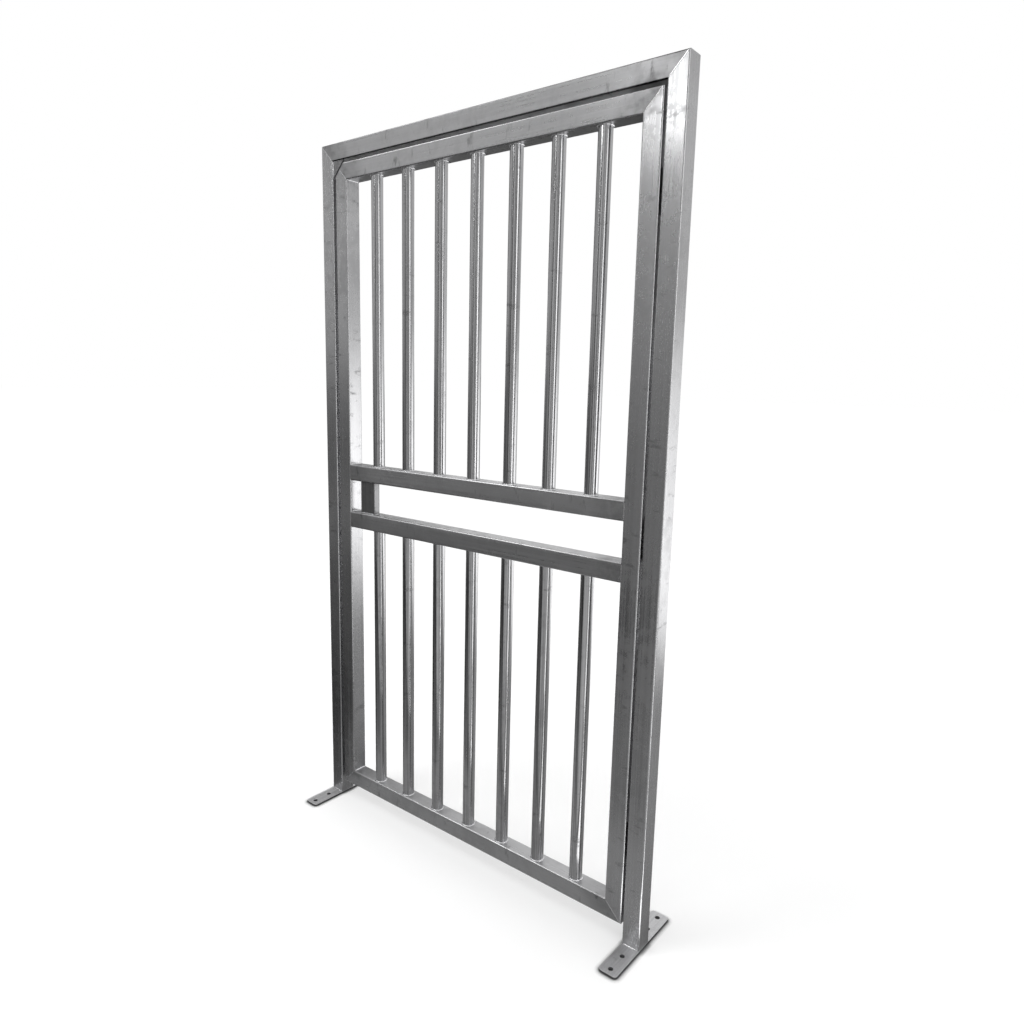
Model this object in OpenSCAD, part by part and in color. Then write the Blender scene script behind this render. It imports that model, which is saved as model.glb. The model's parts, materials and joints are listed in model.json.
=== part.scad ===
// Side gate for a turnstile lane, in stainless square tube.
// A portal frame of two posts and a header stands on two drilled foot plates. A barred leaf
// hangs in it on three hinges at the back of one post, and opens to the back.
// Millimetres. +X runs from the latch post to the hinge post, +Y to the back, +Z up.
// The origin is the centre of the underside of the latch post's foot plate.

/* [Frame] */
// Height of the frame above the floor
frame_height = 2100; // [1900:10:2400]
// Width over both posts
frame_width = 1210; // [1000:10:1500]

/* [Square tube] */
// Outer side of the square tube
tube = 50; // [44:1:60]
// Wall of the square tube
tube_wall = 2; // [1.5:0.5:3]
// Outer corner radius of the square tube
tube_radius = 4; // [3.5:0.5:6]

/* [Leaf] */
// Gap between the latch post and the leaf
latch_gap = 14; // [12:1:25]
// Gap between the hinge post and the leaf
hinge_gap = 6; // [5:0.5:10]
// Gap between the header and the leaf
top_gap = 9; // [6:1:15]
// Height of the leaf's underside above the floor
leaf_ground_gap = 55; // [30:5:150]
// Height of the slot's lower edge above the floor
slot_z = 995; // [800:5:1200]
// Height of the slot between the two middle rails
slot_height = 100; // [60:5:200]

/* [Bars] */
// Number of bars above the slot, and of bars below it
bar_count = 7; // [7]
// Outer diameter of a bar
bar_diameter = 35; // [25:1:40]
// Wall of a bar
bar_wall = 1.5; // [1:0.5:3]
// Clear gap between a stile and the bar next to it
bar_edge_gap = 90; // [60:1:120]

/* [Latch corner] */
// Leg of the triangular gusset in the frame's latch corner
gusset_leg = 47; // [40:1:70]
// Thickness of the gusset
gusset_thickness = 5; // [3:1:10]
// Gap between the gusset and the leaf's cut corner
gusset_gap = 8.5; // [5:0.5:15]
// Thickness of the plate that closes the leaf's cut corner
corner_cover_thickness = 2; // [1.5:0.5:4]

/* [Slot upright] */
// Width of the short upright in the slot
upright_width = 64; // [40:1:100]
// Depth of the short upright
upright_depth = 22; // [15:1:40]
// Wall of the short upright
upright_wall = 2; // [1.5:0.5:3]
// Outer corner radius of the short upright
upright_radius = 3; // [3:0.5:5]
// Clear gap between the latch stile and the upright
upright_gap = 33; // [25:1:60]

/* [Foot plates] */
// Length of a foot plate, from front to back
foot_length = 276; // [240:2:360]
// How far a foot plate stands out beside its post
foot_margin = 0; // [0:1:30]
// Thickness of a foot plate
foot_thickness = 6; // [5:1:15]
// Corner radius of a foot plate
foot_radius = 8; // [4:1:12]
// Diameter of a floor bolt's hole
foot_hole_diameter = 13; // [9:1:16]
// Distance from the post's centre to the nearer hole
foot_hole_offset = 64; // [50:1:80]
// Distance between the two holes on one side of the post
foot_hole_pitch = 55; // [40:1:70]

/* [Hinges] */
// Length of a hinge
hinge_length = 100; // [70:5:150]
// Outer radius of the knuckles
knuckle_radius = 7; // [6:0.5:9]
// Radius of the hinge pin
pin_radius = 4; // [3:0.5:5]
// Width of a hinge plate
hinge_plate_width = 28; // [20:1:34]
// Thickness of a hinge plate
hinge_plate_thickness = 3; // [2:0.5:4]
// Distance from a leaf end to the centre of the hinge near it
hinge_end_offset = 200; // [100:10:300]
// Radial clearance between the pin and the knuckles
pin_clearance = 0.05; // [0.02:0.01:0.1]
// Gap between two knuckles
knuckle_gap = 0.3; // [0.2:0.1:0.6]

/* [Hidden] */
$fn = 64;
// How far a cutting shape runs past what it cuts
over = 10;
// Side clearance between a hinge plate and the other half's knuckles
hinge_plate_clearance = 1.5;
// Head of a hinge pin: how far it stands out past the pin, its height and its bevel
pin_head_step = 1.8;
pin_head_height = 3;
pin_head_bevel = 1.2;
steel = [0.62, 0.62, 0.63];
dark_steel = [0.45, 0.45, 0.46];

frame_left = -tube / 2;
frame_right = frame_left + frame_width;
frame_back = tube / 2;
post_x = [0, frame_right - tube / 2];

leaf_left = frame_left + tube + latch_gap;
leaf_right = frame_right - tube - hinge_gap;
leaf_top = frame_height - tube - top_gap;
leaf_bottom = leaf_ground_gap;
leaf_inner_left = leaf_left + tube;
leaf_inner_right = leaf_right - tube;

lower_mid_z = slot_z - tube / 2;
upper_mid_z = slot_z + slot_height + tube / 2;
upper_bars_z = [upper_mid_z + tube / 2, leaf_top - tube];
lower_bars_z = [leaf_bottom + tube, lower_mid_z - tube / 2];
bar_first_x = leaf_inner_left + bar_edge_gap + bar_diameter / 2;
bar_last_x = leaf_inner_right - bar_edge_gap - bar_diameter / 2;
bar_pitch = (bar_last_x - bar_first_x) / (bar_count - 1);

// Leg of the leaf's cut corner, measured on its top and on its latch side
cut_leg = gusset_leg + gusset_gap * sqrt(2) - latch_gap - top_gap;
// The same leg at the inner face of the plate that closes the corner
cover_leg = cut_leg + corner_cover_thickness * sqrt(2);

hinge_x = leaf_right + hinge_gap / 2;
hinge_y = frame_back + knuckle_radius;
hinge_z = [
    leaf_bottom + hinge_end_offset,
    (leaf_bottom + leaf_top) / 2,
    leaf_top - hinge_end_offset
];
knuckle_length = (hinge_length - 2 * knuckle_gap) / 3;
knuckle_step = knuckle_length + knuckle_gap;

BARS = [for (i = [1:bar_count]) i];
HINGES = ["bottom_hinge", "middle_hinge", "top_hinge"];

// Rectangle with round corners, centred
module rounded_rectangle(w, h, r) {
    square([w - 2 * r, h], center = true);
    square([w, h - 2 * r], center = true);
    for (x = [-1, 1], y = [-1, 1])
        translate([x * (w / 2 - r), y * (h / 2 - r)]) circle(r);
}

// Cross-section of a rectangular tube
module tube_section(w, h, wall, r) {
    difference() {
        rounded_rectangle(w, h, r);
        rounded_rectangle(w - 2 * wall, h - 2 * wall, r - wall);
    }
}

// Square tube, upright, its centre line at x
module tube_up(x, z_low, z_high) {
    translate([x, 0, z_low])
        linear_extrude(z_high - z_low)
            tube_section(tube, tube, tube_wall, tube_radius);
}

// Square tube, lying along X, its centre line at z
module tube_across(x_low, x_high, z) {
    translate([x_low, 0, z])
        rotate([90, 0, 90])
            linear_extrude(x_high - x_low)
                tube_section(tube, tube, tube_wall, tube_radius);
}

// The space in front view that an outline takes in, through the whole depth of the gate
module front_region(points) {
    rotate([90, 0, 0])
        linear_extrude(tube + 2 * over, center = true)
            polygon(points);
}

// Region of an upright whose ends are mitred into rails: side is -1 at the left, 1 at the right
module upright_region(outer, side, z_low, low_mitre, z_high) {
    inner = outer - side * (tube + over);
    low_outer = low_mitre ? z_low - over : z_low;
    low_inner = low_mitre ? z_low + tube + over : z_low;
    front_region([
        [outer + side * over, low_outer],
        [outer + side * over, z_high + over],
        [inner, z_high - tube - over],
        [inner, low_inner]
    ]);
}

// Region of a rail mitred into two uprights: side is 1 for a top rail, -1 for a bottom rail
module rail_region(x_low, x_high, outer, side) {
    front_region([
        [x_low - over, outer + side * over],
        [x_high + over, outer + side * over],
        [x_high - tube - over, outer - side * (tube + over)],
        [x_low + tube + over, outer - side * (tube + over)]
    ]);
}

// Everything outside the leaf's cut corner, cut with the given leg
module corner_outside(leg) {
    front_region([
        [leaf_left - over, leaf_top - leg - over],
        [leaf_left + leg + over, leaf_top + over],
        [leaf_left - over, leaf_top + over]
    ]);
}

// ---- Frame ----

module post(outer, side) {
    color(steel)
        intersection() {
            tube_up(outer - side * tube / 2, foot_thickness, frame_height);
            upright_region(outer, side, foot_thickness, false, frame_height);
        }
}

module header() {
    color(steel)
        intersection() {
            tube_across(frame_left, frame_right, frame_height - tube / 2);
            rail_region(frame_left, frame_right, frame_height, 1);
        }
}

// Triangular plate in the frame's latch corner, on the flat sides of the post and the header
module corner_gusset() {
    corner_x = frame_left + tube;
    corner_z = frame_height - tube;
    color(dark_steel)
        translate([0, frame_back - tube + tube_radius + gusset_thickness, 0])
            rotate([90, 0, 0])
                linear_extrude(gusset_thickness)
                    polygon([
                        [corner_x, corner_z],
                        [corner_x + gusset_leg, corner_z],
                        [corner_x, corner_z - gusset_leg]
                    ]);
}

module foot_plate(x) {
    color(steel)
        translate([x, 0, 0])
            difference() {
                linear_extrude(foot_thickness)
                    rounded_rectangle(tube + 2 * foot_margin, foot_length, foot_radius);
                for (side = [-1, 1], n = [0, 1])
                    translate([0, side * (foot_hole_offset + n * foot_hole_pitch), -over])
                        cylinder(h = foot_thickness + 2 * over, d = foot_hole_diameter);
            }
}

// ---- Leaf ----

module latch_stile() {
    color(steel)
        difference() {
            intersection() {
                tube_up(leaf_left + tube / 2, leaf_bottom, leaf_top);
                upright_region(leaf_left, -1, leaf_bottom, true, leaf_top);
            }
            corner_outside(cover_leg);
        }
}

module hinge_stile() {
    color(steel)
        intersection() {
            tube_up(leaf_right - tube / 2, leaf_bottom, leaf_top);
            upright_region(leaf_right, 1, leaf_bottom, true, leaf_top);
        }
}

module top_rail() {
    color(steel)
        difference() {
            intersection() {
                tube_across(leaf_left, leaf_right, leaf_top - tube / 2);
                rail_region(leaf_left, leaf_right, leaf_top, 1);
            }
            corner_outside(cover_leg);
        }
}

module bottom_rail() {
    color(steel)
        intersection() {
            tube_across(leaf_left, leaf_right, leaf_bottom + tube / 2);
            rail_region(leaf_left, leaf_right, leaf_bottom, -1);
        }
}

module middle_rail(z) {
    color(steel) tube_across(leaf_inner_left, leaf_inner_right, z);
}

// Solid outer form of the leaf's latch corner, before it is cut
module leaf_corner_form() {
    intersection() {
        translate([leaf_left + tube / 2, 0, leaf_top - 2 * tube])
            linear_extrude(2 * tube) rounded_rectangle(tube, tube, tube_radius);
        upright_region(leaf_left, -1, leaf_top - 2 * tube, false, leaf_top);
    }
    intersection() {
        translate([leaf_left, 0, leaf_top - tube / 2])
            rotate([90, 0, 90])
                linear_extrude(2 * tube) rounded_rectangle(tube, tube, tube_radius);
        rail_region(leaf_left, leaf_right, leaf_top, 1);
    }
}

// Plate that closes the cut ends of the top rail and the latch stile
module corner_cover() {
    color(steel)
        difference() {
            intersection() {
                leaf_corner_form();
                corner_outside(cover_leg);
            }
            corner_outside(cut_leg);
        }
}

// Short upright between the two middle rails, beside the latch stile
module slot_upright() {
    color(dark_steel)
        translate([leaf_inner_left + upright_gap + upright_width / 2, 0, slot_z])
            linear_extrude(slot_height)
                tube_section(upright_width, upright_depth, upright_wall, upright_radius);
}

// Round bar from z_range[0] to z_range[1], counted from the latch side
module bar(number, z_range) {
    color(steel)
        translate([bar_first_x + (number - 1) * bar_pitch, 0, z_range[0]])
            linear_extrude(z_range[1] - z_range[0])
                difference() {
                    circle(d = bar_diameter);
                    circle(d = bar_diameter - 2 * bar_wall);
                }
}

// ---- Hinges ----

// One half of a hinge, centred on its height: side is -1 on the leaf, 1 on the post
module hinge_half(side, z, knuckles) {
    plate_inner = knuckle_radius + hinge_plate_clearance;
    plate_x = side > 0 ? plate_inner : -plate_inner - hinge_plate_width;
    tab_x = side > 0 ? 0 : -plate_inner;
    color(steel)
        translate([hinge_x, hinge_y, z - hinge_length / 2])
            difference() {
                union() {
                    translate([plate_x, -knuckle_radius, 0])
                        cube([hinge_plate_width, hinge_plate_thickness, hinge_length]);
                    for (k = knuckles)
                        translate([0, 0, k * knuckle_step]) {
                            cylinder(h = knuckle_length, r = knuckle_radius);
                            translate([tab_x, -knuckle_radius, 0])
                                cube([plate_inner, hinge_plate_thickness, knuckle_length]);
                        }
                }
                translate([0, 0, -over])
                    cylinder(h = hinge_length + 2 * over, r = pin_radius + pin_clearance);
            }
}

// Pin with a bevelled head on each end knuckle
module hinge_pin(z) {
    head_radius = pin_radius + pin_head_step;
    color(dark_steel)
        translate([hinge_x, hinge_y, z])
            rotate_extrude()
                polygon([
                    [0, -hinge_length / 2 - pin_head_height],
                    [head_radius - pin_head_bevel, -hinge_length / 2 - pin_head_height],
                    [head_radius, -hinge_length / 2 - pin_head_height + pin_head_bevel],
                    [head_radius, -hinge_length / 2],
                    [pin_radius, -hinge_length / 2],
                    [pin_radius, hinge_length / 2],
                    [head_radius, hinge_length / 2],
                    [head_radius, hinge_length / 2 + pin_head_height - pin_head_bevel],
                    [head_radius - pin_head_bevel, hinge_length / 2 + pin_head_height],
                    [0, hinge_length / 2 + pin_head_height]
                ]);
}

post(frame_left, -1);  // latch_post
post(frame_right, 1);  // hinge_post
header();
corner_gusset();
foot_plate(post_x[0]);  // latch_foot_plate
foot_plate(post_x[1]);  // hinge_foot_plate
latch_stile();
hinge_stile();
top_rail();
bottom_rail();
middle_rail(upper_mid_z);  // upper_middle_rail
middle_rail(lower_mid_z);  // lower_middle_rail
slot_upright();
corner_cover();
for (i = BARS) {
    bar(i, upper_bars_z);
    bar(i, lower_bars_z);
}
for (h = [0:2]) {
    hinge_half(1, hinge_z[h], [0, 2]);
    hinge_half(-1, hinge_z[h], [1]);
    hinge_pin(hinge_z[h]);
}
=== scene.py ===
"""Turnstile side gate: the looks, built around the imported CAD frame. Metres, +Z up."""

import json
import math

import bmesh
import bpy
from mathutils import Matrix, Quaternion, Vector, noise


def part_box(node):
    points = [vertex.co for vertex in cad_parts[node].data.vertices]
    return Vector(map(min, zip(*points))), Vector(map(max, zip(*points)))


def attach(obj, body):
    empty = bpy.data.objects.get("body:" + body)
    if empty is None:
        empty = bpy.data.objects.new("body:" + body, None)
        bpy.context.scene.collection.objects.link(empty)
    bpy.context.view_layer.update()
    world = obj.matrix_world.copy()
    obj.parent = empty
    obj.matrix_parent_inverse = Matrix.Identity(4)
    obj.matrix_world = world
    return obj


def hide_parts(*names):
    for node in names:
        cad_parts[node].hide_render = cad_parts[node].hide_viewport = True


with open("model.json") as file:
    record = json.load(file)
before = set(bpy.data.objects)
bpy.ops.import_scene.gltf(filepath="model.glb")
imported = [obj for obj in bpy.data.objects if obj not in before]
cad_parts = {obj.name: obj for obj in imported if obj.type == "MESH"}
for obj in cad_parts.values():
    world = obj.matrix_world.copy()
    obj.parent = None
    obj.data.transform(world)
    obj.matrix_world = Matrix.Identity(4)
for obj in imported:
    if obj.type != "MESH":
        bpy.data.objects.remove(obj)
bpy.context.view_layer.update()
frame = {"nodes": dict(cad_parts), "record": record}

# ---- Sizes taken from the frame ----

POST_LO, POST_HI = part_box("latch_post")
TUBE = POST_HI[0] - POST_LO[0]
FRONT, BACK = POST_LO[1], POST_HI[1]
FRAME_LEFT = POST_LO[0]
FRAME_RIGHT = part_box("hinge_post")[1][0]
FRAME_TOP = POST_HI[2]
PLATE_TOP = POST_LO[2]
LEAF_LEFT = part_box("latch_stile")[0][0]
LEAF_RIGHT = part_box("hinge_stile")[1][0]
LEAF_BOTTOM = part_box("hinge_stile")[0][2]
LEAF_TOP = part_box("hinge_stile")[1][2]
LEAF_INNER_LEFT = LEAF_LEFT + TUBE
LEAF_INNER_RIGHT = LEAF_RIGHT - TUBE
COVER_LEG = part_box("corner_cover")[1][0] - LEAF_LEFT
BARS = sorted(n for n in frame["nodes"] if "_bar_" in n)
MIDDLE_RAILS = ("upper_middle_rail", "lower_middle_rail")
HINGES = ("bottom_hinge", "middle_hinge", "top_hinge")

# ---- Sizes that the frame doesn't carry ----

TUBE_RADIUS = 0.004         # rounding of the square tubes' corners
UPRIGHT_RADIUS = 0.003
CORNER_STEPS = 6            # facets in a rounded corner
SEAM_BEVEL = 0.0006         # broken edge at a tube's ends
BAR_STEPS = 72              # facets round a bar
BAR_END = 0.02              # length of a bar's own ring at each end
MERGE_DISTANCE = 1e-5
MM_PER_M = 1000

# How far from a tube's end the weld's heat has ground and tinted it: (distance, amount).
WELD_ZONE = ((0.0, 1.0), (0.03, 0.9), (0.06, 0.6), (0.1, 0.0))
UPRIGHT_WELD_ZONE = ((0.0, 1.0), (0.012, 0.0))

# Weld beads: (half width, height).
BEAD_GROUND = (0.0008, 0.00015)
BEAD_GROUND_WIDE = (0.0012, 0.00025)
BEAD_MITRE = (0.0014, 0.0004)
BEAD_BUTT = (0.0022, 0.00012)
BEAD_GUSSET = (0.0014, 0.0011)
BEAD_FOOT = (0.0026, 0.0024)
BEAD_UPRIGHT = (0.0015, 0.0015)
BEAD_BAR = (0.0021, 0.0019)
BEAD_HINGE = (0.0022, 0.0022)
BEAD_INSIDE = (0.0022, 0.0022)


# ---- Mesh making ----

def link(name, data):
    obj = bpy.data.objects.new(name, data)
    bpy.context.scene.collection.objects.link(obj)
    return obj


def plain_mesh(name, verts, faces):
    mesh = bpy.data.meshes.new(name)
    mesh.from_pydata(verts, [], faces)
    return mesh


def smooth_object(name, mesh, sharp_deg, weighted=True):
    """Links a mesh as an object, shaded smooth up to an angle."""
    obj = link(name, mesh)
    mesh.shade_smooth()
    mesh.set_sharp_from_angle(angle=math.radians(sharp_deg))
    if weighted:
        obj.modifiers.new("weighted_normals", "WEIGHTED_NORMAL").keep_sharp = True
    return obj


def new_object(name, verts, faces, attributes=None, sharp_deg=35):
    """A smooth-shaded mesh object with sharp edges kept and optional point attributes."""
    mesh = plain_mesh(name, verts, faces)
    mesh.validate()
    for key, values in (attributes or {}).items():
        layer = mesh.attributes.new(key, "FLOAT", "POINT")
        layer.data.foreach_set("value", values)
    return smooth_object(name, mesh, sharp_deg)


def rounded_outline(width, depth, radius, breaks=()):
    """Rounded rectangle, counter-clockwise, as (u, v, edge): edge is 1 in the middle of a corner."""
    points = []
    for k in range(4):
        sx, sy = ((1, 1), (-1, 1), (-1, -1), (1, -1))[k]
        cx, cy = sx * (width / 2 - radius), sy * (depth / 2 - radius)
        for i in range(CORNER_STEPS + 1):
            a = math.radians(90 * (k + i / CORNER_STEPS))
            edge = math.sin(math.pi * i / CORNER_STEPS)
            points.append((cx + radius * math.cos(a), cy + radius * math.sin(a), edge))
        if k == 0:
            points += [(u, depth / 2, 0.0) for u in sorted(breaks, reverse=True)]
        if k == 2:
            points += [(u, -depth / 2, 0.0) for u in sorted(breaks)]
    return points


def tube_piece(name, axis, centre, low, high, size=(TUBE, TUBE), radius=TUBE_RADIUS, breaks=(),
               zone=WELD_ZONE):
    """A tube along axis "x" or "z". low and high give each end's place for a point u across it."""
    verts, edge, weld, rings = [], [], [], []

    def add_ring(place, inset, weld_value):
        ring = []
        outline = rounded_outline(size[0] - 2 * inset, size[1] - 2 * inset, radius - inset, breaks)
        for u, v, e in outline:
            along = place(u)
            across = centre + u
            ring.append(len(verts))
            verts.append((across, v, along) if axis == "z" else (along, v, across))
            edge.append(e)
            weld.append(weld_value)
        rings.append(ring)

    add_ring(low, SEAM_BEVEL, 1.0)
    for distance, amount in zone:
        add_ring(lambda u, d=distance: low(u) + SEAM_BEVEL + d, 0.0, amount)
    for distance, amount in reversed(zone):
        add_ring(lambda u, d=distance: high(u) - SEAM_BEVEL - d, 0.0, amount)
    add_ring(high, SEAM_BEVEL, 1.0)

    faces = []
    count = len(rings[0])
    for a, b in zip(rings, rings[1:]):
        for i in range(count):
            j = (i + 1) % count
            quad = (a[i], a[j], b[j], b[i])
            faces.append(quad if axis == "z" else tuple(reversed(quad)))
    for ring, flip in ((rings[0], axis == "z"), (rings[-1], axis != "z")):
        for cap in split_cap(ring, breaks):
            faces.append(tuple(reversed(cap)) if flip else tuple(cap))
    return new_object(name, verts, faces, {"edge": edge, "weld": weld})


def split_cap(ring, breaks):
    """An end's outline, split into two flat faces where a break line crosses it."""
    if not breaks:
        return [ring]
    first = CORNER_STEPS + 1
    second = first + 1 + 2 * (CORNER_STEPS + 1)
    return [ring[first:second + 1], ring[second:] + ring[:first + 1]]


def mitre_high(outer, slope):
    """Upper or right end of a tube mitred at 45 degrees: outer is its furthest reach."""
    return lambda u: outer - TUBE / 2 + slope * u


def mitre_low(outer, slope):
    """The same for a lower or left end."""
    return lambda u: outer + TUBE / 2 + slope * u


def flat(place):
    """A square-cut end."""
    return lambda u: place


def finish_piece(obj, node, body, material):
    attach(obj, body)
    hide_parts(node)
    obj.data.materials.append(material)


def plate_piece(name, outline, holes, thickness, bevel, matrix):
    """A flat plate with broken edges, from an outline and round holes in its own XY plane."""
    curve = bpy.data.curves.new(name, "CURVE")
    curve.dimensions = "2D"
    curve.fill_mode = "BOTH"
    curve.extrude = thickness / 2 - bevel
    curve.bevel_depth = bevel
    curve.bevel_resolution = 2
    curve.offset = -bevel
    for loop in [outline, *holes]:
        spline = curve.splines.new("POLY")
        spline.points.add(len(loop) - 1)
        for p, (x, y) in zip(spline.points, loop):
            p.co = (x, y, 0, 1)
        spline.use_cyclic_u = True
    source = link(name + "_curve", curve)
    bpy.context.view_layer.update()
    evaluated = source.evaluated_get(bpy.context.evaluated_depsgraph_get())
    mesh = bpy.data.meshes.new_from_object(evaluated)
    bpy.data.objects.remove(source)
    work = bmesh.new()
    work.from_mesh(mesh)
    bmesh.ops.remove_doubles(work, verts=work.verts, dist=MERGE_DISTANCE)
    bmesh.ops.recalc_face_normals(work, faces=work.faces)
    work.transform(matrix)
    work.to_mesh(mesh)
    work.free()
    mesh.name = name
    mesh.materials.clear()
    return smooth_object(name, mesh, sharp_deg=50)


def circle_points(x, y, radius, count=48):
    turn = [2 * math.pi * i / count for i in range(count)]
    return [(x + radius * math.cos(a), y + radius * math.sin(a)) for a in turn]


def lathe_rings(profile, steps):
    """Vertices and faces of a turned solid about Z; profile is (radius, z) from bottom to top."""
    verts, faces = [], []
    for r, z in profile:
        for i in range(steps):
            a = 2 * math.pi * i / steps
            verts.append((r * math.cos(a), r * math.sin(a), z))
    for k in range(len(profile) - 1):
        for i in range(steps):
            j = (i + 1) % steps
            faces.append((k * steps + i, k * steps + j, (k + 1) * steps + j, (k + 1) * steps + i))
    faces.append(tuple(reversed(range(steps))))
    faces.append(tuple(range((len(profile) - 1) * steps, len(profile) * steps)))
    return verts, faces


class Weld:
    """Collects weld beads into one mesh. A bead is its (half width, height)."""

    SIDES = 10
    STEP = 0.0011           # between cross-sections
    RIPPLE = 0.0026         # between two ripples
    LUMPS = 210.0           # how fine the uneven swelling is, per metre

    def __init__(self):
        self.verts, self.faces = [], []

    def sweep(self, centres, ups, bead, roughness, closed=False):
        """An oval bead along centres; ups are the directions it stands out in."""
        half_width, height = bead
        n = len(centres)
        start = len(self.verts)
        travelled = 0.0
        for i in range(n):
            before = centres[i - 1] if (i or closed) else centres[i]
            after = centres[(i + 1) % n] if (i < n - 1 or closed) else centres[i]
            along = (after - before).normalized()
            up = (ups[i] - along * ups[i].dot(along)).normalized()
            side = along.cross(up)
            if i:
                travelled += (centres[i] - centres[i - 1]).length
            wobble = noise.noise(centres[i] * self.LUMPS)
            wave = math.sin(2 * math.pi * travelled / self.RIPPLE)
            scale = 1 + roughness * (0.35 * wave + 0.9 * wobble)
            if not closed:      # the bead tapers off at its ends
                scale *= min(1.0, 0.45 + 0.2 * min(i, n - 1 - i))
            for k in range(self.SIDES):
                a = 2 * math.pi * k / self.SIDES
                offset = side * (half_width * math.cos(a)) + up * (height * math.sin(a))
                self.verts.append(centres[i] + offset * scale)
        for i in range(n if closed else n - 1):
            a, b = start + i * self.SIDES, start + ((i + 1) % n) * self.SIDES
            for k in range(self.SIDES):
                m = (k + 1) % self.SIDES
                self.faces.append((a + k, a + m, b + m, b + k))
        if not closed:
            self.faces.append(tuple(reversed(range(start, start + self.SIDES))))
            self.faces.append(tuple(range(start + (n - 1) * self.SIDES, start + n * self.SIDES)))

    def line(self, a, b, up, bead, roughness=0.25):
        a, b, up = Vector(a), Vector(b), Vector(up)
        n = max(4, int((b - a).length / self.STEP))
        centres = [a.lerp(b, i / n) for i in range(n + 1)]
        self.sweep(centres, [up] * (n + 1), bead, roughness)

    def ring(self, centre, radius, up, bead, roughness=0.3):
        n = int(2 * math.pi * radius / self.STEP)
        centre = Vector(centre)
        turn = [2 * math.pi * i / n for i in range(n)]
        centres = [centre + Vector((math.cos(t), math.sin(t), 0)) * radius for t in turn]
        self.sweep(centres, [Vector(up)] * n, bead, roughness, closed=True)

    def build(self, name, body, slot, material):
        obj = new_object(name, [tuple(v) for v in self.verts], self.faces, sharp_deg=80)
        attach(obj, body)
        obj.data.materials.append(material)
        return obj


# ---- Materials ----

class Nodes:
    """Short forms for building a node tree."""

    def __init__(self, name):
        self.material = bpy.data.materials.new(name)
        self.material.use_nodes = True
        self.tree = self.material.node_tree
        self.tree.nodes.clear()

    def add(self, kind, **settings):
        node = self.tree.nodes.new(kind)
        for key, value in settings.items():
            setattr(node, key, value)
        return node

    def put(self, value, socket):
        if hasattr(value, "is_output"):
            self.tree.links.new(value, socket)
        else:
            socket.default_value = value

    def math(self, operation, a, b=0.0, clamp=False):
        node = self.add("ShaderNodeMath", operation=operation, use_clamp=clamp)
        self.put(a, node.inputs[0])
        self.put(b, node.inputs[1])
        return node.outputs[0]

    def plus(self, value, amount, factor):
        return self.math("ADD", value, self.math("MULTIPLY", amount, factor))

    def centred(self, value):
        return self.math("SUBTRACT", value, 0.5)

    def remap(self, value, low, high, to_low=0.0, to_high=1.0):
        node = self.add("ShaderNodeMapRange")
        node.clamp = True
        for i, v in enumerate((value, low, high, to_low, to_high)):
            self.put(v, node.inputs[i])
        return node.outputs[0]

    def noise(self, vector, scale, stretch=(1, 1, 1), detail=3.0, rough=0.55):
        mapping = self.add("ShaderNodeMapping")
        self.put(vector, mapping.inputs["Vector"])
        mapping.inputs["Scale"].default_value = stretch
        node = self.add("ShaderNodeTexNoise")
        self.put(mapping.outputs[0], node.inputs["Vector"])
        node.inputs["Scale"].default_value = scale
        node.inputs["Detail"].default_value = detail
        node.inputs["Roughness"].default_value = rough
        return node.outputs["Fac"]

    def attribute(self, name):
        return self.add("ShaderNodeAttribute", attribute_name=name).outputs["Fac"]

    def grey(self, value, tint=(1.0, 1.0, 1.015)):
        node = self.add("ShaderNodeCombineColor")
        for i in range(3):
            self.put(self.math("MULTIPLY", value, tint[i]), node.inputs[i])
        return node.outputs[0]


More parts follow.
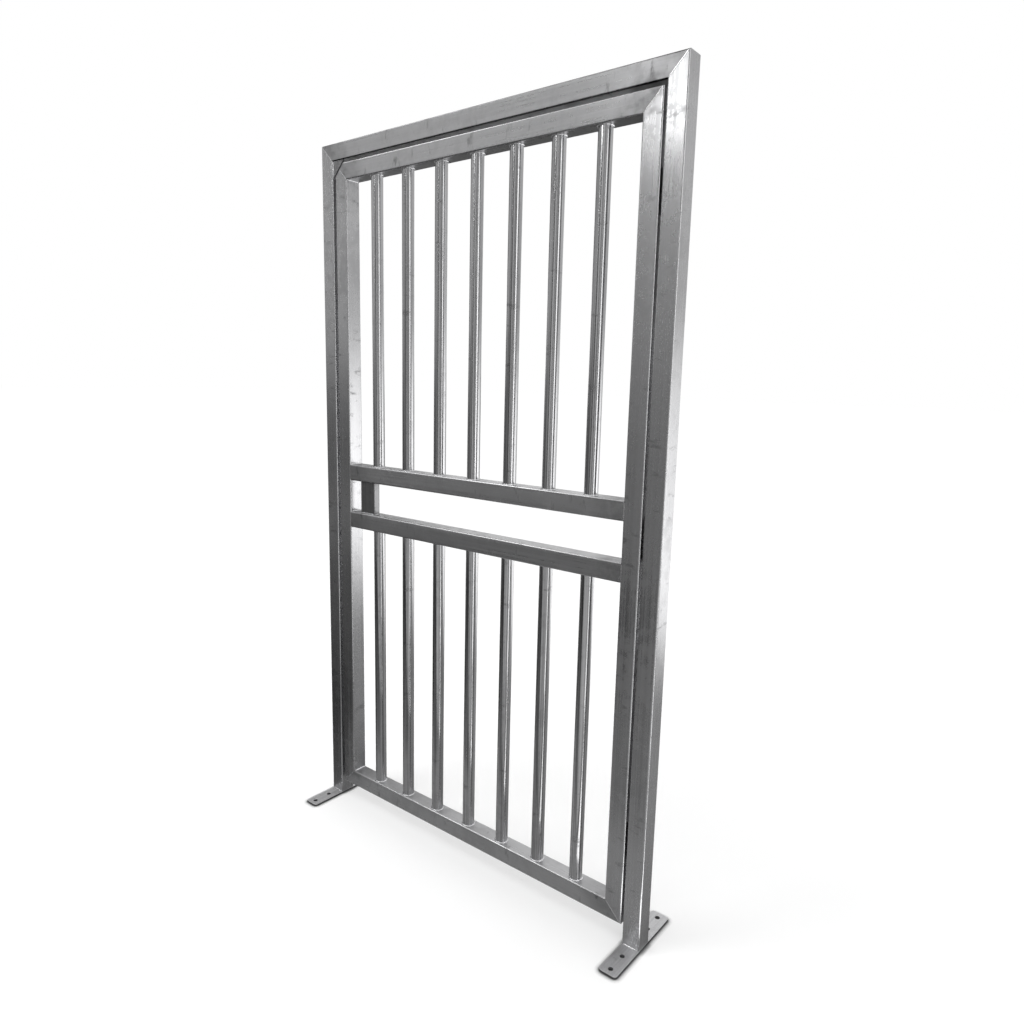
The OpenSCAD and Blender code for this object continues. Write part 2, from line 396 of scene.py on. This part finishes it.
def steel(name, axis, level, rough, aniso, grain=0.07, smudge=0.5, speckle=0.0, streaks=0.12,
          painted_side_shade=0.0, weld_tint=0.1, painted_edge_light=0.1):
    """Stainless steel with a grain along axis, smudges, ground weld zones, a painted highlight along the
    rounded edges (painted shade where that amount is below zero) and painted shade on a plate's sides.

    level is its brightness, rough and aniso its sheen, and the rest say how strong each mark, painted
    highlight and painted shade is.
    """
    n = Nodes(name)
    place = n.add("ShaderNodeTexCoord").outputs["Object"]
    fine, coarse = 1400.0, 260.0
    along, across = ([squeeze if letter == axis else 1 for letter in "xyz"] for squeeze in (0.004, 2.6))
    hair = n.noise(place, fine, along, 2.0)
    streak = n.remap(n.noise(place, coarse, along, 3.0), 0.35, 0.65)
    cloud = n.noise(place, 5.0, detail=4.0)
    spots = n.noise(place, 34.0, detail=5.0, rough=0.6)
    marks = n.remap(n.noise(place, 15.0, across, detail=6.0, rough=0.65), 0.6, 0.7)
    dirt = n.remap(n.math("MULTIPLY", cloud, spots), 0.24, 0.36)
    edge = n.attribute("edge")
    weld = n.math("MULTIPLY", n.attribute("weld"), n.remap(spots, 0.35, 0.62, 0.5, 1.0))

    tone = n.plus(level - streaks / 2, streak, streaks)
    tone = n.plus(tone, n.centred(hair), 0.12)
    tone = n.plus(tone, n.centred(spots), 0.16 * smudge)
    tone = n.plus(tone, dirt, -0.12 * smudge)
    tone = n.plus(tone, marks, -0.3 * smudge)
    tone = n.plus(tone, weld, -weld_tint)
    # Painted highlight on the tubes' rounded edges; where the amount is below zero, painted shade instead.
    tone = n.plus(tone, edge, painted_edge_light)
    if speckle:
        grit = n.noise(place, 900.0, detail=2.0, rough=0.7)
        tone = n.plus(tone, n.centred(grit), speckle)
    # Painted shade: faces that turn sideways are drawn darker than the plate's top.
    if painted_side_shade:        # the sides of a plate are darker than its face
        normal = n.add("ShaderNodeSeparateXYZ")
        n.put(n.add("ShaderNodeTexCoord").outputs["Normal"], normal.inputs[0])
        side = n.remap(n.math("ABSOLUTE", normal.outputs[2]), 0.5, 0.2)
        tone = n.math("MULTIPLY", tone, n.remap(side, 0.0, 1.0, 1.0, 1.0 - painted_side_shade))

    gloss = n.plus(rough - 0.04, streak, 0.08)
    gloss = n.plus(gloss, dirt, 0.14 * smudge)
    gloss = n.plus(gloss, marks, 0.2 * smudge)
    gloss = n.plus(gloss, weld, 0.06)
    gloss = n.plus(gloss, edge, -0.08)

    bump = n.add("ShaderNodeBump")
    bump.inputs["Strength"].default_value = grain
    bump.inputs["Distance"].default_value = 0.00004
    pitting = 0.53 if speckle else 0.03
    n.put(n.plus(hair, spots, pitting), bump.inputs["Height"])

    shader = n.add("ShaderNodeBsdfPrincipled")
    n.put(n.grey(n.math("ADD", tone, 0.0, clamp=True)), shader.inputs["Base Color"])
    n.put(n.math("ADD", gloss, 0.0, clamp=True), shader.inputs["Roughness"])
    shader.inputs["Metallic"].default_value = 1.0
    shader.inputs["Anisotropic"].default_value = aniso
    n.put(bump.outputs[0], shader.inputs["Normal"])
    if aniso:
        tangent = n.add("ShaderNodeTangent", direction_type="RADIAL", axis=axis.upper())
        n.put(tangent.outputs[0], shader.inputs["Tangent"])
    out = n.add("ShaderNodeOutputMaterial")
    n.put(shader.outputs[0], out.inputs["Surface"])
    return n.material


STEEL_UP = steel("steel_upright", "z", 0.62, 0.25, 0.6, smudge=0.75, streaks=0.02, grain=0.015)
STEEL_ACROSS = steel("steel_rail", "x", 0.59, 0.31, 0.7, smudge=0.65, streaks=0.03, weld_tint=0.22)
# The header's rounded edges are painted darker: painted shade.
STEEL_HEADER = steel("steel_header", "x", 0.57, 0.31, 0.7, smudge=0.7, streaks=0.03, weld_tint=0.22,
                     painted_edge_light=-0.45)
STEEL_BAR = steel("steel_bar", "z", 0.58, 0.14, 0.3, grain=0.02, smudge=0.7, streaks=0.3)
# The foot plates carry painted shade on their sides.
STEEL_PLATE = steel("steel_foot", "y", 0.66, 0.42, 0.0, grain=0.5, speckle=0.6, painted_side_shade=0.75)
STEEL_FITTING = steel("steel_fitting", "z", 0.34, 0.34, 0.5)
STEEL_HINGE = steel("steel_hinge", "z", 0.48, 0.24, 0.3, smudge=0.3)
STEEL_WELD = steel("steel_weld", "y", 0.85, 0.2, 0.0, grain=0.6, speckle=0.15)


# ---- Frame ----

def make_frame():
    post = tube_piece("post_latch_side", "z", FRAME_LEFT + TUBE / 2,
                      flat(PLATE_TOP), mitre_high(FRAME_TOP, -1))
    finish_piece(post, "latch_post", "frame", STEEL_UP)
    post = tube_piece("post_hinge_side", "z", FRAME_RIGHT - TUBE / 2,
                      flat(PLATE_TOP), mitre_high(FRAME_TOP, 1))
    finish_piece(post, "hinge_post", "frame", STEEL_UP)
    header = tube_piece("header_tube", "x", FRAME_TOP - TUBE / 2,
                        mitre_low(FRAME_LEFT, -1), mitre_high(FRAME_RIGHT, 1))
    finish_piece(header, "header", "frame", STEEL_HEADER)


def make_foot_plates():
    radius, bevel, hole_radius = 0.008, 0.0007, 0.0065
    for side in ("latch", "hinge"):
        node = side + "_foot_plate"
        lo, hi = map(Vector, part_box(node))
        size, centre = hi - lo, (lo + hi) / 2
        outline = [(u, v) for u, v, _ in rounded_outline(size.x, size.y, radius)]
        holes = []
        for mount in frame["record"]["mounts"]:
            if mount["name"].startswith(side + "_foot") and mount["kind"] == "bolt_pattern":
                half_mm = mount["dims"]["spacing_y_mm"] / 2
                for way in (-1, 1):
                    y = mount["pos_m"][1] + way * half_mm / MM_PER_M
                    holes.append(circle_points(0, y, hole_radius))
        plate = plate_piece(side + "_foot", outline, holes, size.z, bevel, Matrix.Translation(centre))
        finish_piece(plate, node, "frame", STEEL_PLATE)


def stand_up(y0, y1):
    """Turns a plate drawn in XY to stand in XZ, with its middle between y0 and y1."""
    return Matrix.Translation((0, (y0 + y1) / 2, 0)) @ Matrix.Rotation(math.radians(90), 4, "X")


def make_gusset():
    lo, hi = map(Vector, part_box("corner_gusset"))
    outline = [(lo.x, hi.z), (lo.x, lo.z), (hi.x, hi.z)]
    bevel = 0.0004
    gusset = plate_piece("gusset", outline, [], hi.y - lo.y, bevel, stand_up(lo.y, hi.y))
    finish_piece(gusset, "corner_gusset", "frame", STEEL_FITTING)


# ---- Leaf ----

def latch_stile_top(u):
    """The latch stile's upper end: mitred, with the corner cut off."""
    inwards = u + TUBE / 2
    return min(LEAF_TOP - inwards, LEAF_TOP - COVER_LEG + inwards)


def top_rail_left(u):
    """The top rail's left end: mitred, with the same corner cut off."""
    inwards = TUBE / 2 - u
    return max(LEAF_LEFT + inwards, LEAF_LEFT + COVER_LEG - inwards)


def make_leaf():
    fold = (COVER_LEG - TUBE) / 2
    stile = tube_piece("stile_latch_side", "z", LEAF_LEFT + TUBE / 2,
                       mitre_low(LEAF_BOTTOM, 1), latch_stile_top, breaks=(fold,))
    finish_piece(stile, "latch_stile", "leaf", STEEL_UP)
    stile = tube_piece("stile_hinge_side", "z", LEAF_RIGHT - TUBE / 2,
                       mitre_low(LEAF_BOTTOM, -1), mitre_high(LEAF_TOP, 1))
    finish_piece(stile, "hinge_stile", "leaf", STEEL_UP)
    rail = tube_piece("rail_top", "x", LEAF_TOP - TUBE / 2,
                      top_rail_left, mitre_high(LEAF_RIGHT, 1), breaks=(-fold,))
    finish_piece(rail, "top_rail", "leaf", STEEL_ACROSS)
    rail = tube_piece("rail_bottom", "x", LEAF_BOTTOM + TUBE / 2,
                      mitre_low(LEAF_LEFT, 1), mitre_high(LEAF_RIGHT, -1))
    finish_piece(rail, "bottom_rail", "leaf", STEEL_ACROSS)
    for node in MIDDLE_RAILS:
        lo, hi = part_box(node)
        rail = tube_piece(node + "_tube", "x", (lo[2] + hi[2]) / 2, flat(lo[0]), flat(hi[0]))
        finish_piece(rail, node, "leaf", STEEL_ACROSS)
    lo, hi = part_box("slot_upright")
    upright = tube_piece("slot_upright_tube", "z", (lo[0] + hi[0]) / 2, flat(lo[2]), flat(hi[2]),
                         (hi[0] - lo[0], hi[1] - lo[1]), UPRIGHT_RADIUS, zone=UPRIGHT_WELD_ZONE)
    finish_piece(upright, "slot_upright", "leaf", STEEL_FITTING)


def make_bars():
    for node in BARS:
        lo, hi = map(Vector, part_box(node))
        radius = (hi.x - lo.x) / 2
        centre = (lo + hi) / 2
        profile = [(radius, z) for z in (lo.z, lo.z + BAR_END, hi.z - BAR_END, hi.z)]
        verts, faces = lathe_rings(profile, BAR_STEPS)
        verts = [(x + centre.x, y + centre.y, z) for x, y, z in verts]
        bar = new_object(node + "_tube", verts, faces)
        finish_piece(bar, node, "leaf", STEEL_BAR)


# ---- Welds ----

FACES = ((FRONT, -1), (BACK, 1))
FLAT_HALF = TUBE / 2 - TUBE_RADIUS      # half of the flat part of a tube's face


def corner_seam(weld, corner_x, corner_z, dx, dz, bead, start=0.0):
    """Ground bead along a mitre, on the front and the back, from the outer corner inwards."""
    margin = 0.003
    for y, out in FACES:
        a, b = ((corner_x + dx * reach, y, corner_z + dz * reach)
                for reach in (max(start, margin), TUBE - margin))
        weld.line(a, b, (0, out, 0), bead, roughness=0.12)


def inner_fillet(weld, x, z, up_x, up_z):
    """Bead through the depth of an inside corner."""
    weld.line((x, -FLAT_HALF, z), (x, FLAT_HALF, z), (up_x, 0, up_z), BEAD_INSIDE)


def make_frame_welds():
    weld = Weld()
    corner_seam(weld, FRAME_RIGHT, FRAME_TOP, -1, -1, BEAD_MITRE)
    corner_seam(weld, FRAME_LEFT, FRAME_TOP, 1, -1, BEAD_GROUND)
    inner_fillet(weld, FRAME_RIGHT - TUBE, FRAME_TOP - TUBE, -1, -1)
    lo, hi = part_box("corner_gusset")
    margin = 0.004
    for y, out in ((lo[1], -1), (hi[1], 1)):
        corner = (lo[0], y, hi[2])
        weld.line(corner, (hi[0] - margin, y, hi[2]), (0, out, 0), BEAD_GUSSET)
        weld.line((lo[0], y, lo[2] + margin), corner, (0, out, 0), BEAD_GUSSET)
    weld.build("frame_welds", "frame", "tube_steel", STEEL_WELD)

    feet = Weld()
    for x in (FRAME_LEFT + TUBE / 2, FRAME_RIGHT - TUBE / 2):
        for y, out in FACES:
            a, b = ((x + way * FLAT_HALF, y, PLATE_TOP) for way in (-1, 1))
            feet.line(a, b, (0, out, 1), BEAD_FOOT, roughness=0.15)
    feet.build("foot_welds", "frame", "plate_steel", STEEL_WELD)


def make_leaf_welds():
    weld = Weld()
    corner_seam(weld, LEAF_RIGHT, LEAF_TOP, -1, -1, BEAD_GROUND)
    corner_seam(weld, LEAF_LEFT, LEAF_BOTTOM, 1, 1, BEAD_GROUND)
    corner_seam(weld, LEAF_RIGHT, LEAF_BOTTOM, -1, 1, BEAD_GROUND_WIDE)
    corner_seam(weld, LEAF_LEFT, LEAF_TOP, 1, -1, BEAD_GROUND, start=COVER_LEG / 2)
    butt_offset = 0.0012
    for x, out in ((LEAF_INNER_LEFT, 1), (LEAF_INNER_RIGHT, -1)):
        inner_fillet(weld, x, LEAF_TOP - TUBE, out, -1)
        inner_fillet(weld, x, LEAF_BOTTOM + TUBE, out, 1)
        for node in MIDDLE_RAILS:
            lo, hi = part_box(node)
            inner_fillet(weld, x, hi[2], out, 1)
            inner_fillet(weld, x, lo[2], out, -1)
            seam_x = x - out * butt_offset
            for y, face in FACES:
                weld.line((seam_x, y, lo[2] + TUBE_RADIUS), (seam_x, y, hi[2] - TUBE_RADIUS),
                          (0, face, 0), BEAD_BUTT, roughness=0.1)
    lo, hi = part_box("slot_upright")
    margin_x, margin_y = 0.004, 0.003
    for z, up in ((lo[2], 1), (hi[2], -1)):
        for y, out in ((lo[1], -1), (hi[1], 1)):
            weld.line((lo[0] + margin_x, y, z), (hi[0] - margin_x, y, z), (0, out, up), BEAD_UPRIGHT)
        for x, out in ((lo[0], -1), (hi[0], 1)):
            weld.line((x, lo[1] + margin_y, z), (x, hi[1] - margin_y, z), (out, 0, up), BEAD_UPRIGHT)
    weld.build("leaf_welds", "leaf", "tube_steel", STEEL_WELD)

    rings = Weld()
    stand_off = 0.0006
    for node in BARS:
        lo, hi = map(Vector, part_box(node))
        centre = (lo + hi) / 2
        radius = (hi.x - lo.x) / 2 + stand_off
        rings.ring((centre.x, centre.y, lo.z), radius, (0, 0, 1), BEAD_BAR)
        rings.ring((centre.x, centre.y, hi.z), radius, (0, 0, -1), BEAD_BAR)
    rings.build("bar_welds", "leaf", "bar_steel", STEEL_WELD)


# ---- Hinges ----

HINGE_PLATE = 0.003             # thickness
HINGE_PLATE_RADIUS, HINGE_PLATE_BEVEL = 0.002, 0.0004
HINGE_GAP = 0.0003              # between two knuckles
HINGE_TAB_REACH = 0.0085        # from the pin's axis to the plate
HINGE_TAB_OVERLAP = 0.001
HINGE_TAB_RADIUS, HINGE_TAB_BEVEL = 0.0006, 0.0003
KNUCKLE_CHAMFER = 0.0006
PIN_SHANK, PIN_HEAD_HEIGHT, PIN_BEVEL = 0.004, 0.003, 0.0012
STITCH_MARGIN, STITCH_LENGTH = 0.008, 0.03


def join_meshes(name, objects, sharp_deg):
    """One object out of several, made of their plain meshes."""
    work = bmesh.new()
    for obj in objects:
        work.from_mesh(obj.data)
        bpy.data.objects.remove(obj)
    mesh = bpy.data.meshes.new(name)
    work.to_mesh(mesh)
    work.free()
    return smooth_object(name, mesh, sharp_deg, weighted=False)


def turned_piece(name, x, y, profile, steps=48):
    """A turned solid that stands on a vertical axis at x, y."""
    verts, faces = lathe_rings(profile, steps)
    return new_object(name, [(x + vx, y + vy, vz) for vx, vy, vz in verts], faces)


def upright_plate(name, x0, x1, z0, z1, y0, y1, radius, bevel):
    outline = [((x0 + x1) / 2 + u, (z0 + z1) / 2 + v)
               for u, v, _ in rounded_outline(x1 - x0, z1 - z0, radius)]
    return plate_piece(name, outline, [], y1 - y0, bevel, stand_up(y0, y1))


def make_hinge_half(hinge, half, side, knuckles):
    """side is 1 when the plate lies on the post's side of the pin; knuckles are counted from below."""
    lo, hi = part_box(hinge + half)
    radius = (hi[1] - lo[1]) / 2
    axis_x = lo[0] + radius if side > 0 else hi[0] - radius
    axis_y = lo[1] + radius
    post_lo, post_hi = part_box(hinge + "_post_half")
    length = (post_hi[2] - post_lo[2] - 2 * HINGE_GAP) / 3
    inner = axis_x + side * HINGE_TAB_REACH
    outer = hi[0] if side > 0 else lo[0]
    x0, x1 = sorted((inner, outer))
    y0, y1 = lo[1], lo[1] + HINGE_PLATE
    name = hinge + half
    parts = [upright_plate(name + "_plate", x0, x1, post_lo[2], post_hi[2], y0, y1,
                           HINGE_PLATE_RADIUS, HINGE_PLATE_BEVEL)]
    for k in knuckles:
        z0 = post_lo[2] + k * (length + HINGE_GAP)
        z1 = z0 + length
        rim = radius - KNUCKLE_CHAMFER
        profile = ((rim, z0), (radius, z0 + KNUCKLE_CHAMFER), (radius, z1 - KNUCKLE_CHAMFER), (rim, z1))
        parts.append(turned_piece(name + "_knuckle", axis_x, axis_y, profile))
        t0, t1 = sorted((axis_x, inner + side * HINGE_TAB_OVERLAP))
        parts.append(upright_plate(name + "_tab", t0, t1, z0, z1, y0, y1,
                                   HINGE_TAB_RADIUS, HINGE_TAB_BEVEL))
    piece = join_meshes(name + "_steel", parts, sharp_deg=40)
    finish_piece(piece, name, "frame" if side > 0 else "leaf", STEEL_HINGE)


def make_hinges():
    """Hinges on the back, each half held by two stitch welds."""
    frame_side, leaf_side = Weld(), Weld()
    for hinge in HINGES:
        make_hinge_half(hinge, "_post_half", 1, (0, 2))
        make_hinge_half(hinge, "_leaf_half", -1, (1,))
        lo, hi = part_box(hinge + "_pin")
        head = (hi[0] - lo[0]) / 2
        neck_low, neck_high = lo[2] + PIN_HEAD_HEIGHT, hi[2] - PIN_HEAD_HEIGHT
        profile = ((head - PIN_BEVEL, lo[2]), (head, lo[2] + PIN_BEVEL), (head, neck_low),
                   (PIN_SHANK, neck_low), (PIN_SHANK, neck_high), (head, neck_high),
                   (head, hi[2] - PIN_BEVEL), (head - PIN_BEVEL, hi[2]))
        pin = turned_piece(hinge + "_pin_steel", (lo[0] + hi[0]) / 2, (lo[1] + hi[1]) / 2, profile)
        finish_piece(pin, hinge + "_pin", "frame", STEEL_HINGE)
        z0, z1 = lo[2] + STITCH_MARGIN, hi[2] - STITCH_MARGIN
        for weld, half, edge, out in ((frame_side, "_post_half", 1, 1), (leaf_side, "_leaf_half", 0, -1)):
            edge_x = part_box(hinge + half)[edge][0]
            for a, b in ((z0, z0 + STITCH_LENGTH), (z1 - STITCH_LENGTH, z1)):
                weld.line((edge_x, BACK, a), (edge_x, BACK, b), (out, 1, 0), BEAD_HINGE)
    frame_side.build("hinge_welds_post", "frame", "hinge_steel", STEEL_WELD)
    leaf_side.build("hinge_welds_stile", "leaf", "hinge_steel", STEEL_WELD)


def dress_cad_nodes():
    """Materials for the CAD nodes that are shown as they are."""
    mesh = frame["nodes"]["corner_cover"].data
    mesh.materials.clear()
    mesh.materials.append(STEEL_FITTING)


# ---- Stage ----

def ramp_emission(name, axis, stops):
    """Emission whose level follows the object's own height or depth; stops are (place, level)."""
    n = Nodes(name)
    place = n.add("ShaderNodeSeparateXYZ")
    n.put(n.add("ShaderNodeTexCoord").outputs["Object"], place.inputs[0])
    low, high = stops[0][0], stops[-1][0]
    ramp = n.add("ShaderNodeValToRGB")
    n.put(n.remap(place.outputs[axis], low, high), ramp.inputs[0])
    elements = ramp.color_ramp.elements
    for at, level in stops[1:-1]:
        elements.new((at - low) / (high - low)).color = (level, level, level, 1)
    elements[0].color = (*[stops[0][1]] * 3, 1)
    elements[-1].color = (*[stops[-1][1]] * 3, 1)
    shader = n.add("ShaderNodeEmission")
    n.put(ramp.outputs[0], shader.inputs["Color"])
    n.put(shader.outputs[0], n.add("ShaderNodeOutputMaterial").inputs["Surface"])
    return n.material


def reflected_card(name, verts, faces, axis, stops):
    """A glowing surface that only the steel's reflections see."""
    mesh = plain_mesh(name, verts, faces)
    obj = link(name, mesh)
    mesh.materials.append(ramp_emission(name, axis, stops))
    obj.visible_camera = False
    obj.visible_diffuse = False
    obj.visible_shadow = False
    obj.visible_transmission = False
    obj.visible_volume_scatter = False


CENTRE = Vector(((FRAME_LEFT + FRAME_RIGHT) / 2, 0, 0))
PANEL_DISTANCE = 4.5
PANEL_STEPS = 12
CARD_LIFT = 0.0002          # each floor card lies this much above the one before
Y, Z = 1, 2

# Studio panels round the gate, seen only in the steel: name, from and to in degrees
# (0 is the front, 90 the hinge side), and brightness by height above the floor.
PANELS = (
    ("panel_left", -112, -84, ((0, 0.05), (1.2, 0.1), (2.0, 0.18), (5, 0.2))),
    ("panel_left_front", -84, -42,
     ((0, 0.18), (0.3, 0.18), (0.6, 0.12), (0.85, 0.12), (1.1, 0.14), (1.4, 0.24), (1.65, 0.37),
      (1.9, 0.44), (2.4, 0.48), (4.4, 0.46), (5, 1.0))),
    ("panel_front_left", -42, -23,
     ((0, 0.18), (0.25, 0.19), (0.6, 0.14), (1.0, 0.21), (1.4, 0.22), (1.7, 0.25), (2.1, 0.35),
      (2.5, 0.43), (4.4, 0.4), (5, 1.0))),
    ("panel_lamp", -23, -8,
     ((0, 0.2), (1.4, 0.25), (2.5, 0.4), (3.35, 0.4), (3.45, 7.5), (3.85, 7.5), (3.95, 0.4), (5, 0.8))),
    ("panel_front_strip", -8, 6, ((0, 0.07), (2.0, 0.08), (5, 0.2))),
    ("panel_front", 6, 28, ((0, 0.45), (1.0, 0.45), (1.8, 0.5), (5, 0.7))),
    ("panel_middle_strip", 28, 36, ((0, 0.1), (2.0, 0.12), (5, 0.3))),
    ("panel_front_right", 36, 56, ((0, 0.42), (1.5, 0.42), (3, 0.45), (5, 0.6))),
    ("panel_dark_strip", 56, 67, ((0, 0.1), (2.5, 0.14), (5, 0.2))),
    ("panel_bright_strip", 67, 84, ((0, 1.8), (2.4, 1.8), (5, 1.1))),
    ("panel_right", 84, 101, ((0, 0.7), (2.4, 0.7), (5, 0.6))),
    ("panel_right_dark", 101, 112, ((0, 0.3), (2.4, 0.35), (5, 0.4))),
    ("panel_right_back", 112, 140,
     ((0, 2.1), (1.1, 1.75), (1.36, 1.4), (1.66, 0.85), (1.95, 0.57), (2.8, 0.65), (5, 0.6))),
    ("panel_back_right", 140, 168,
     ((0, 1.45), (0.3, 1.15), (1.4, 1.0), (1.7, 0.76), (2.05, 0.55), (2.8, 0.62), (5, 0.6))),
    ("panel_back", 168, 186, ((0, 0.6), (5, 0.6))),
    ("panel_back_left", 186, 229,
     ((0, 0.05), (1.2, 0.06), (1.6, 1.0), (2.4, 1.0), (3.2, 0.6), (5, 0.6))),
    ("panel_left_back", 229, 248,
     ((0, 0.05), (1.2, 0.06), (1.5, 1.0), (2.1, 1.0), (2.3, 0.05), (5, 0.05))),
)


def make_panels():
    for name, start, end, stops in PANELS:
        verts = []
        for i in range(PANEL_STEPS + 1):
            a = math.radians(start + (end - start) * i / PANEL_STEPS)
            x, y = CENTRE.x + PANEL_DISTANCE * math.sin(a), -PANEL_DISTANCE * math.cos(a)
            verts += [(x, y, stops[0][0]), (x, y, stops[-1][0])]
        faces = [(2 * i, 2 * i + 2, 2 * i + 3, 2 * i + 1) for i in range(PANEL_STEPS)]
        reflected_card(name, verts, faces, Z, stops)


# The floor as the steel sees it: name, corners (x, y), and brightness by place along y.
FLOOR_CARDS = (
    ("card_front_left", ((-4.6, 0), (-4.6, -4.5), (0.1, 0)),
     ((-4.5, 0.17), (-2.8, 0.16), (-2.0, 0.095), (-1.5, 0.107), (-1.15, 0.09), (-0.86, 0.04), (-0.62, 0.02),
      (-0.42, 0.02), (-0.26, 0.03), (-0.1, 0.08), (0, 0.2))),
    ("card_front", ((0.1, 0), (-4.6, -4.5), (-0.6, -4.5), (1.25, 0)),
     ((-4.5, 0.18), (-3.7, 0.18), (-2.9, 0.03), (-2.0, 0.05), (-1.5, 0.11), (-0.9, 0.15), (-0.6, 0.15),
      (-0.4, 0.27), (0, 0.28))),
    ("card_front_right", ((1.25, 0), (-0.6, -4.5), (5.8, -4.5), (5.8, 0)),
     ((-4.5, 0.42), (-0.9, 0.42), (-0.45, 0.42), (-0.36, 0.16), (-0.26, 0.12), (-0.22, 1.9), (-0.06, 1.9),
      (-0.03, 0.2), (0, 0.15))),
    ("card_back_left", ((-4.6, 0), (0.28, 0), (0.28, 4.5), (-4.6, 4.5)),
     ((0, 0.2), (1.0, 0.08), (4.5, 0.05))),
    ("card_back_right", ((0.28, 0), (5.8, 0), (5.8, 4.5), (0.28, 4.5)),
     ((0, 0.22), (0.6, 0.3), (1.45, 0.31), (2.05, 1.0), (2.6, 1.4), (4.5, 1.6))),
    ("card_strip_right", ((2.2, -0.22), (2.2, -0.6), (5.8, -1.6), (5.8, -0.4)),
     ((-1.6, 1.7), (0, 1.7))),
)


def make_floor_cards():
    for layer, (name, corners, stops) in enumerate(FLOOR_CARDS):
        height = CARD_LIFT * (1 + layer)
        verts = [(x, y, height) for x, y in corners]
        reflected_card(name, verts, [tuple(range(len(corners)))], Y, stops)


def make_ceiling_card():
    """A bright strip overhead that draws the rounded upper edges of the rails."""
    height, level = 5.4, 2.6
    left, right, front, back = -6.5, -2.2, -3.2, 1.5
    verts = [(x, y, height) for x, y in ((left, front), (right, front), (right, back), (left, back))]
    reflected_card("card_above", verts, [(3, 2, 1, 0)], Y, ((front, level), (back, level)))


def make_floor():
    """A pale floor with painted shade where it meets the gate (ambient occlusion darkens its colour and
    glow, and blacks out the plates' holes), and white where it is seen rather than lit.
    """
    contact_reach, contact_power = 0.014, 3.5
    albedo, own_glow, half = 0.86, 0.15, 60
    n = Nodes("floor")
    diffuse = n.add("ShaderNodeBsdfDiffuse")
    path = n.add("ShaderNodeLightPath")
    seen = n.math("ADD", path.outputs["Is Camera Ray"], path.outputs["Is Glossy Ray"])
    seen = n.math("ADD", seen, path.outputs["Is Transmission Ray"], clamp=True)
    # Painted shade: ambient occlusion darkens the floor's colour and glow close to the gate.
    contact = n.add("ShaderNodeAmbientOcclusion", samples=12)
    contact.inputs["Distance"].default_value = contact_reach
    open_air = n.math("POWER", contact.outputs["AO"], contact_power)
    shade = n.math("MULTIPLY", open_air, albedo)
    n.put(n.grey(shade, (1, 1, 1)), diffuse.inputs["Color"])
    glow = n.add("ShaderNodeEmission")
    n.put(n.math("MULTIPLY", n.math("MULTIPLY", seen, open_air), own_glow), glow.inputs["Strength"])
    both = n.add("ShaderNodeAddShader")
    n.put(diffuse.outputs[0], both.inputs[0])
    n.put(glow.outputs[0], both.inputs[1])
    n.put(both.outputs[0], n.add("ShaderNodeOutputMaterial").inputs["Surface"])
    corners = ((-half, -half, 0), (half, -half, 0), (half, half, 0), (-half, half, 0))
    mesh = plain_mesh("floor", corners, [(0, 1, 2, 3)])
    floor = link("floor", mesh)
    mesh.materials.append(n.material)


def make_light():
    """Even white light all round, and a soft key lamp above the front left."""
    world = bpy.data.worlds.new("studio")
    bpy.context.scene.world = world
    world.use_nodes = True
    background = world.node_tree.nodes["Background"]
    background.inputs["Color"].default_value = (1, 1, 1, 1)
    background.inputs["Strength"].default_value = 1.0
    lamp = bpy.data.lights.new("key", "AREA")
    lamp.shape = "DISK"
    lamp.size = 2.5
    lamp.energy = 60
    key = link("key", lamp)
    key.location = (-1.5, -2.5, 4.5)
    aim = CENTRE + Vector((0, 0, 0.8))
    key.rotation_mode = "QUATERNION"
    key.rotation_quaternion = (aim - key.location).to_track_quat("-Z", "Y")
    key.visible_glossy = False


def make_camera():
    """Held at chest height in front of the hinge post, turned towards the leaf."""
    camera = link("camera", bpy.data.cameras.new("camera"))
    camera.location = (1.982, -1.578, 1.4195)
    aim = Vector((0.7242, 0, 1.0702))
    roll = Quaternion((0, 0, 1), math.radians(1.32))
    camera.rotation_mode = "QUATERNION"
    camera.rotation_quaternion = (aim - camera.location).to_track_quat("-Z", "Y") @ roll
    camera.data.sensor_width = 36
    camera.data.lens = 26.9
    bpy.context.scene.camera = camera


make_frame()
make_foot_plates()
make_gusset()
make_leaf()
make_bars()
make_frame_welds()
make_leaf_welds()
make_hinges()
dress_cad_nodes()
make_panels()
make_floor_cards()
make_ceiling_card()
make_floor()
make_light()
make_camera()
bpy.context.scene.view_settings.view_transform = "Standard"
